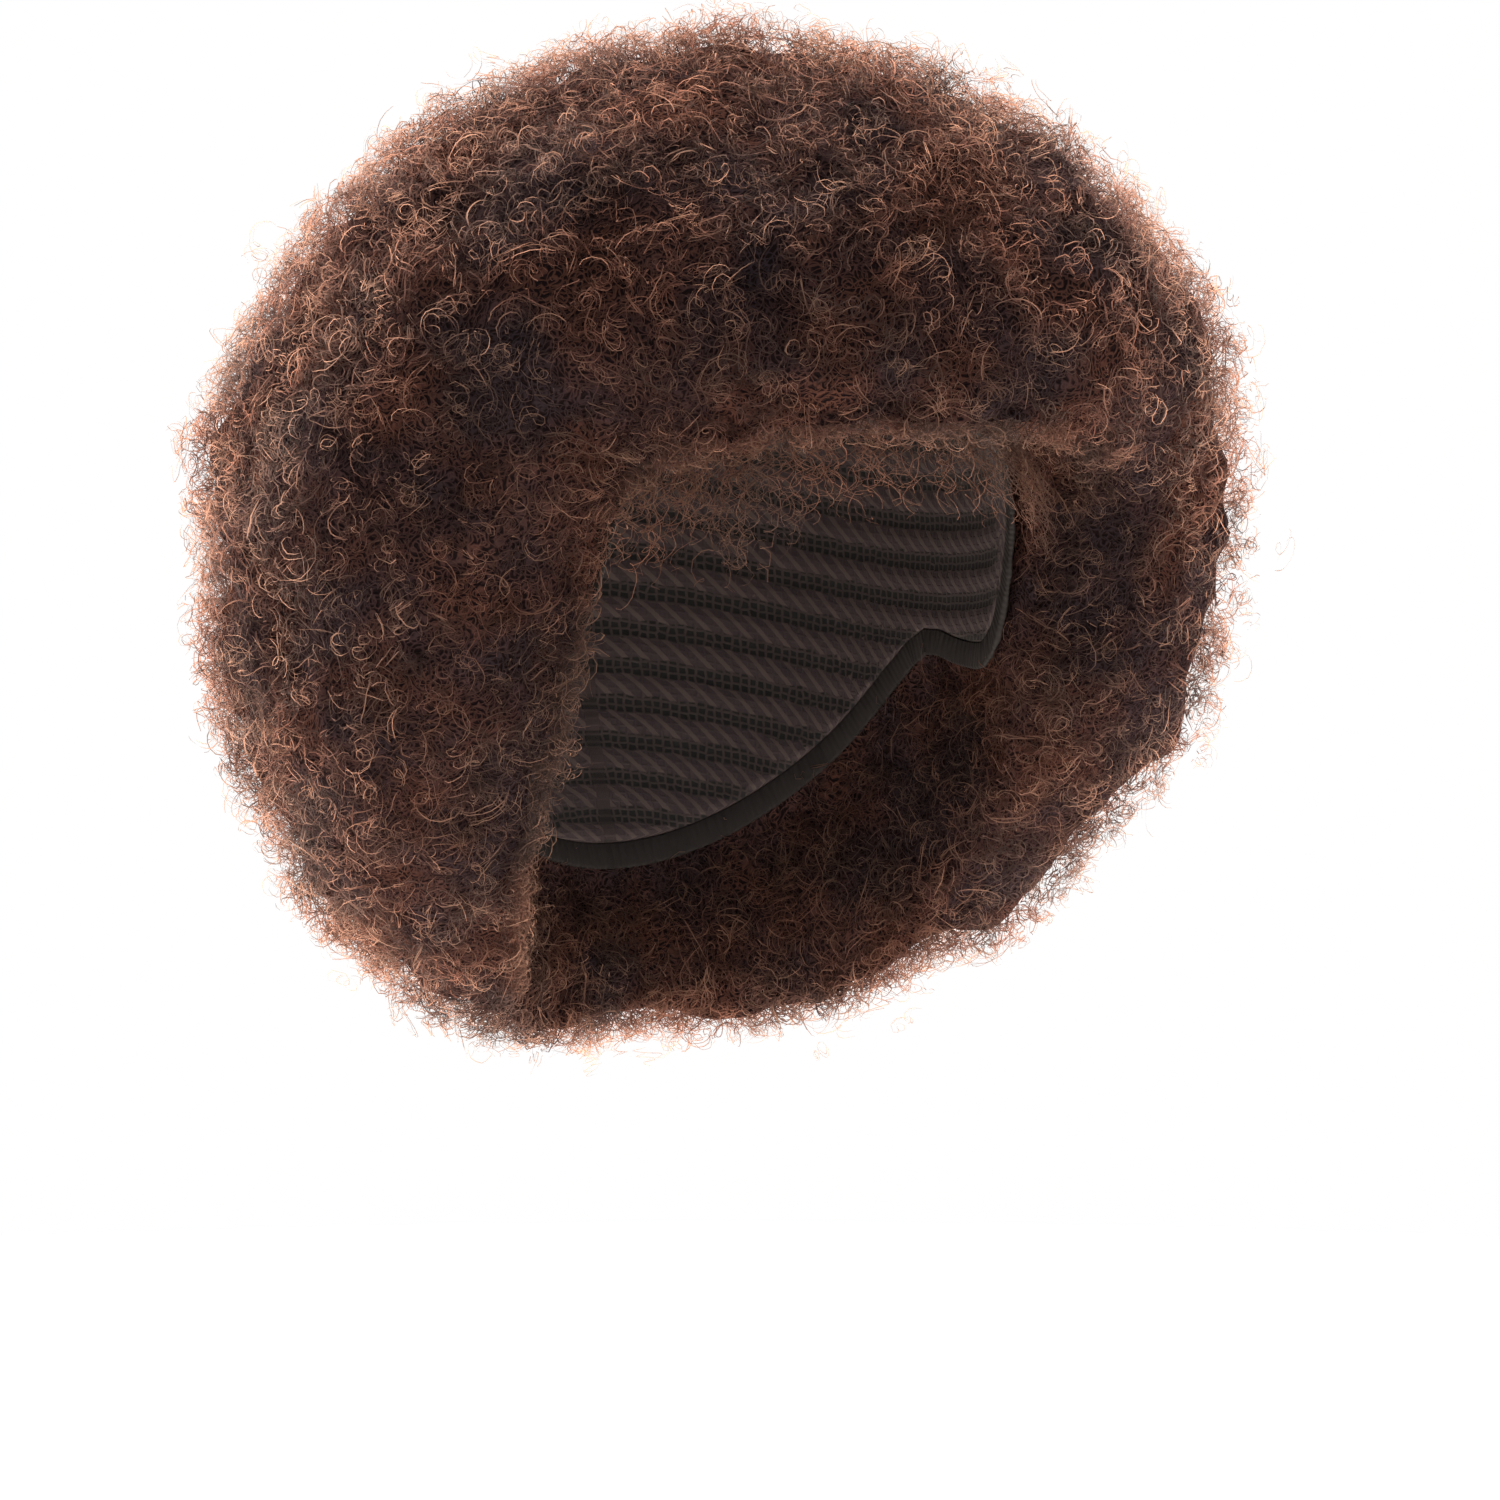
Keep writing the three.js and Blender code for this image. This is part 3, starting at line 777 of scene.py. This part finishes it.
def add_curls():
    rng = np.random.default_rng(CURL_SEED)
    wanted = LOCKS_EACH * len(CURL_PANELS)
    points, normals, from_cap = roots_on_hair(wanted, rng)
    turn = np.arctan2(points[:, 1], points[:, 0])
    order = np.argsort((turn + 1.6 * math.pi) % (2 * math.pi))
    points, normals, from_cap = points[order], normals[order], from_cap[order]
    paths, height, stray = coils(points, normals, from_cap, rng)
    height = height.reshape(-1, CURL_SEGMENTS + 1)
    paths = paths.reshape(-1, CURL_SEGMENTS + 1, 3)
    faced, stray = np.repeat(normals, LOCK_FIBRES, axis=0), np.repeat(stray, LOCK_FIBRES)
    count = len(paths)
    share = np.linspace(0, 1, CURL_SEGMENTS + 1)[None, :]
    twists = rng.normal(0, TWIST_START, count)[:, None]
    twists = twists + rng.normal(0, TWIST_CHANGE, count)[:, None] * share
    sunk = np.clip(-height.mean(axis=1) / BED_LEVEL, 0, 1)
    width = STRIP_WIDTH + (BED_WIDTH - STRIP_WIDTH) * sunk
    width = width * rng.uniform(*WIDTH_VARIETY, count)
    width = np.where(stray, STRIP_WIDTH * STRAY_WIDTH_SHARE, width)
    widths = width[:, None] * (1 - 0.5 * np.abs(2 * share - 1) ** 3)
    # Painted shade: fibres lying deeper in the hair, and fibres near the cap's edge, are drawn
    # darker.
    shade = 0.2 + 0.8 * np.clip((height + SHADE_DEPTH) / SHADE_DEPTH, 0, 1)
    near_cap = np.clip((from_cap - CAP_SHADE_START) / CAP_SHADE_REACH, 0, 1)
    shade *= np.repeat(0.35 + 0.65 * near_cap, LOCK_FIBRES)[:, None]
    # Each fibre's tone differs at random, and is multiplied by that painted shade.
    tone_and_shade = rng.normal(CURL_TONE, CURL_TONE_SPREAD, count)[:, None] * shade
    tone_and_shade = np.clip(tone_and_shade, 0, 1)
    # Painted highlight: the higher a fibre stands above the outer hair, the lighter it is drawn.
    lift = np.clip(height / HIGHLIGHT_HEIGHT, 0, 1) * HIGHLIGHT_MOST
    material = modacrylic_fibre()
    each = LOCKS_EACH * LOCK_FIBRES
    for number, name in enumerate(CURL_PANELS):
        mine = slice(number * each, (number + 1) * each)
        flat, faces = strips(paths[mine], faced[mine], twists[mine], widths[mine])
        panel = add_piece(f"curls_{name}", flat, faces, material)
        add_values(panel, "tone_and_shade", np.repeat(tone_and_shade[mine].ravel(), 2))
        add_values(panel, "lift", np.repeat(lift[mine].ravel(), 2))


add_curls()

# The front curls. On a real wig a band of weft is sewn over the front edge, and thin tufts of
# its crimped modacrylic fibre fall from it. A tuft's fibres coil, and close in to its tip.
FOREHEAD_SEED = 23
FOREHEAD_DROP = 0.044
FOREHEAD_ENDS = (-46, 42)
FOREHEAD_STEPS = 64
BAND_WIDTH = 0.006
BAND_LIFT = 0.002
BAND_WALL = 0.002
BAND_GAP = 0.0003
TUFT_SEGMENTS = 46
TUFT_WIDTH = 0.00032
TUFT_STAND_OFF = 0.0062
TUFT_COIL_PITCH = 0.0062
TUFT_SPREAD = 3.4  # degrees
TUFT_DROPS = (0.55, 1.1)
LOOSE_DROPS = (0.3, 0.72)
TUFT_ROOTS = (0.0010, 0.0060)
TUFT_RADII = (0.0011, 0.0028)
STAND_OFF_SPREAD = 0.0014
LEAST_LIFT = 0.003
TUFT_CRIMP = 0.00014
TUFT_TONE = 0.65
TUFT_TONE_SPREAD = 0.3
# Painted highlight towards the tuft tips.
TUFT_HIGHLIGHT = 0.25
LOOSE_FIBRES = 150
TUFTS = (  # degrees round from the middle of the forehead, share of the longest drop, fibres
    (-43, 0.85, 26),
    (-36, 0.62, 16),
    (-29, 0.98, 34),
    (-21, 0.80, 20),
    (-12, 0.66, 18),
    (-3, 0.60, 16),
    (6, 0.62, 16),
    (14, 0.70, 18),
    (22, 0.62, 16),
    (30, 0.72, 18),
    (39, 0.70, 18),
)


def past_hem(turn, distance):
    """Directions at a distance past the cap's hem."""
    tilt = np.interp(turn, turns, hem_tilts)
    reach = lining_radius(toward(turn, tilt))
    return toward(turn, tilt + distance / reach)


def weft_band():
    """The sewn band: a thin strip of four corners, closed at both ends."""
    along = np.radians(np.linspace(*FOREHEAD_ENDS, FOREHEAD_STEPS))
    corners = [(BAND_GAP, BAND_LIFT), (BAND_GAP, BAND_LIFT + BAND_WALL)]
    corners += [(BAND_GAP + BAND_WIDTH, BAND_LIFT + BAND_WALL), (BAND_GAP + BAND_WIDTH, BAND_LIFT)]
    rings = []
    for distance, lift in corners:
        rings.append(over_lining(past_hem(along, distance), np.full(len(along), lift)))
    points = np.stack(rings, axis=1).reshape(-1, 3)
    start = np.arange(FOREHEAD_STEPS - 1)[:, None] * 4
    pairs = [(k, (k + 1) % 4) for k in range(4)]
    sides = np.array([[k, after, after + 4, k, after + 4, k + 4] for k, after in pairs])
    faces = (start + sides.reshape(1, -1)).reshape(-1, 3)
    last = 4 * (FOREHEAD_STEPS - 1)
    ends = np.array([[0, 2, 1], [0, 3, 2], [last, last + 1, last + 2], [last, last + 2, last + 3]])
    return points, np.concatenate([faces, ends])


def tuft_fibres(rng):
    """The coiled route of every fibre at the front, and its way out from the hollow."""
    tuft = np.concatenate([np.full(fibres, k) for k, (_, _, fibres) in enumerate(TUFTS)])
    middle = np.array([turn for turn, _, _ in TUFTS])[tuft]
    drop = np.array([share for _, share, _ in TUFTS])[tuft] * rng.uniform(*TUFT_DROPS, len(tuft))
    spread = rng.normal(0, TUFT_SPREAD, len(tuft))
    loose = rng.uniform(*FOREHEAD_ENDS, LOOSE_FIBRES)
    middle = np.radians(np.concatenate([middle, loose]))
    drop = np.concatenate([drop, rng.uniform(*LOOSE_DROPS, LOOSE_FIBRES)]) * FOREHEAD_DROP
    spread = np.radians(np.concatenate([spread, np.zeros(LOOSE_FIBRES)]))
    count = len(middle)

    share = np.linspace(0, 1, TUFT_SEGMENTS + 1)[None, :]
    sway = rng.normal(0, 0.06, (count, 1)) * np.sin(share * rng.uniform(2, 5, (count, 1)))
    turn = middle[:, None] + spread[:, None] * (1 - 0.4 * share) + sway
    distance = rng.uniform(*TUFT_ROOTS, (count, 1)) + drop[:, None] * share
    ways = past_hem(turn, distance)
    stand_off = TUFT_STAND_OFF + rng.normal(0, STAND_OFF_SPREAD, (count, 1))
    lift = BAND_LIFT + BAND_WALL + stand_off * np.minimum(1, share * 2.5)
    lines = over_lining(ways, np.maximum(lift, LEAST_LIFT))
    radius = rng.uniform(*TUFT_RADII, (count, 1)) * np.minimum(1, 0.45 + share * 3)
    pitch = TUFT_COIL_PITCH * rng.uniform(0.7, 1.5, (count, 1))
    wound = 2 * math.pi * drop[:, None] / pitch * share
    wound = wound + 0.6 * np.sin(wound * 0.7 + rng.uniform(0, 6, (count, 1)))
    angle = rng.uniform(0, 2 * math.pi, (count, 1)) + wound * rng.choice([-1, 1], (count, 1))
    level = unit(np.stack([np.cos(turn), np.sin(turn), np.zeros_like(turn)], -1))
    down = np.cross(level, ways)
    lean = rng.uniform(0.2, 1.4, (count, 1))[..., None]
    second = ways * np.cos(lean) + down * np.sin(lean)
    paths = lines + level * (radius * np.cos(angle))[..., None]
    paths = paths + second * (radius * np.sin(angle))[..., None]
    return paths + rng.normal(0, TUFT_CRIMP, paths.shape), ways[:, TUFT_SEGMENTS // 2]


def add_forehead_curls():
    rng = np.random.default_rng(FOREHEAD_SEED)
    paths, faced = tuft_fibres(rng)
    count = len(paths)
    share = np.linspace(0, 1, TUFT_SEGMENTS + 1)[None, :]
    twists = rng.normal(0, 0.5, (count, 1)) + rng.normal(0, 1.2, (count, 1)) * share
    widths = TUFT_WIDTH * rng.uniform(0.7, 1.15, (count, 1)) * (1 - 0.5 * share**3)
    flat, faces = strips(paths, faced, twists, widths)
    band, band_faces = weft_band()
    piece = add_piece(
        "forehead_curls",
        np.concatenate([band, flat]),
        np.concatenate([band_faces, faces + len(band)]),
        modacrylic_fibre(),
        ["forehead_fringe"],
    )
    tone_and_shade = rng.normal(TUFT_TONE, TUFT_TONE_SPREAD, (count, 1))
    # Painted shade: each fibre is drawn darker towards its root at the band.
    tone_and_shade = np.clip(tone_and_shade * np.clip(2.4 * share - 0.1, 0, 1), 0, 1)
    # Painted highlight: each fibre is drawn lighter towards its tip.
    lift = np.broadcast_to(TUFT_HIGHLIGHT * share, tone_and_shade.shape)
    # The band is drawn near the dark fibre colour, as painted shade under the roots.
    band_shade = np.full(len(band), 0.1)
    add_values(piece, "tone_and_shade", np.concatenate([band_shade, np.repeat(tone_and_shade.ravel(), 2)]))
    add_values(piece, "lift", np.concatenate([np.zeros(len(band)), np.repeat(lift.ravel(), 2)]))


add_forehead_curls()

# The studio: a pale floor far below, because the wig is held up, soft lamps at the sides, above
# and behind, which make the thin hair at its outline glow, and a weak front light.
FLOOR_LEVEL = -0.42
FLOOR_RADIUS = 1.3
FLOOR_COLOUR = "#f2f1ef"
FILL_STRENGTH = 0.57
WARM = (1.0, 0.9, 0.8)


def add_floor():
    bpy.ops.mesh.primitive_circle_add(
        vertices=96, radius=FLOOR_RADIUS, fill_type="NGON", location=(0, 0, FLOOR_LEVEL)
    )
    floor = bpy.context.object
    floor.name = "studio_floor"
    material, tree = new_material("matte_white_paint")
    paint = {"Base Color": linear(FLOOR_COLOUR), "Roughness": 0.9}
    shader = add(tree, "ShaderNodeBsdfPrincipled", paint)
    white = add(tree, "ShaderNodeEmission", {"Color": (1, 1, 1, 1), "Strength": 1.0})
    place = add(tree, "ShaderNodeTexCoord").outputs["Object"]
    reach = add(tree, "ShaderNodeVectorMath", {0: place}, operation="LENGTH").outputs["Value"]
    faded = add(
        tree,
        "ShaderNodeMapRange",
        {"Value": reach, "From Min": FLOOR_RADIUS * 0.3, "From Max": FLOOR_RADIUS * 0.9},
        interpolation_type="SMOOTHSTEP",
    )
    both = add(
        tree,
        "ShaderNodeMixShader",
        {0: faded.outputs["Result"], 1: shader.outputs["BSDF"], 2: white.outputs["Emission"]},
    )
    under = add(tree, "ShaderNodeNewGeometry").outputs["Backfacing"]
    clear = add(tree, "ShaderNodeBsdfTransparent")
    one_sided = add(
        tree,
        "ShaderNodeMixShader",
        {0: under, 1: both.outputs["Shader"], 2: clear.outputs["BSDF"]},
    )
    add(tree, "ShaderNodeOutputMaterial", {"Surface": one_sided.outputs["Shader"]})
    floor.data.materials.append(material)


def add_lamp(name, turn, height, away, size, power, colour=(1, 1, 1)):
    """A square soft lamp aimed at the wig. turn is degrees from the front towards +X."""
    lamp = bpy.data.lights.new(name, "AREA")
    lamp.shape = "SQUARE"
    lamp.size = size
    lamp.energy = power
    lamp.color = colour
    spot = bpy.data.objects.new(name, lamp)
    angle = math.radians(turn)
    spot.location = (away * math.sin(angle), -away * math.cos(angle), height)
    aim = HOLLOW_MIDDLE - spot.location
    spot.rotation_euler = aim.to_track_quat("-Z", "Y").to_euler()
    bpy.context.scene.collection.objects.link(spot)


def add_surroundings():
    world = bpy.data.worlds.new("white_studio")
    world.use_nodes = True
    tree = world.node_tree
    tree.nodes.clear()
    seen = add(tree, "ShaderNodeBackground", {"Color": (1, 1, 1, 1), "Strength": 1.0})
    filling = add(tree, "ShaderNodeBackground", {"Color": (1, 1, 1, 1), "Strength": FILL_STRENGTH})
    direct = add(tree, "ShaderNodeLightPath").outputs["Is Camera Ray"]
    both = add(
        tree,
        "ShaderNodeMixShader",
        {0: direct, 1: filling.outputs["Background"], 2: seen.outputs["Background"]},
    )
    add(tree, "ShaderNodeOutputWorld", {"Surface": both.outputs["Shader"]})
    bpy.context.scene.world = world


add_floor()
add_surroundings()
add_lamp("top_lamp", turn=-210, height=1.2, away=0.75, size=0.9, power=145, colour=WARM)
add_lamp("right_side_lamp", turn=-158, height=-0.05, away=1.25, size=0.9, power=135, colour=WARM)
add_lamp("left_side_lamp", turn=118, height=-0.05, away=1.25, size=0.9, power=145, colour=WARM)
add_lamp("front_lamp", turn=-20, height=0.6, away=1.8, size=1.2, power=12)

# The camera stands in front of the wig and 30 degrees to the wearer's right, near its own
# level, and far enough away that near curls aren't drawn much larger than far ones.
CAMERA_TURN = math.radians(-30)
CAMERA_RISE = math.radians(2)
CAMERA_AWAY = 1.6
VIEW_WIDTH = 1.5 / 3.4  # 1500 pixels at 3400 to the metre
AIM_RIGHT = 0.0062
AIM_DOWN = 0.1382


def add_camera():
    back = Vector(
        (
            math.sin(CAMERA_TURN) * math.cos(CAMERA_RISE),
            -math.cos(CAMERA_TURN) * math.cos(CAMERA_RISE),
            math.sin(CAMERA_RISE),
        )
    )
    right = Vector((math.cos(CAMERA_TURN), math.sin(CAMERA_TURN), 0))
    up = back.cross(right)
    lens = bpy.data.cameras.new("camera")
    lens.sensor_width = 36
    lens.lens = lens.sensor_width * CAMERA_AWAY / VIEW_WIDTH
    camera = bpy.data.objects.new("camera", lens)
    axes = Matrix((right, up, back)).transposed().to_4x4()
    place = right * AIM_RIGHT - up * AIM_DOWN + back * CAMERA_AWAY
    camera.matrix_world = Matrix.Translation(place) @ axes
    bpy.context.scene.collection.objects.link(camera)
    bpy.context.scene.camera = camera
    bpy.context.scene.view_settings.view_transform = "Standard"


add_camera()
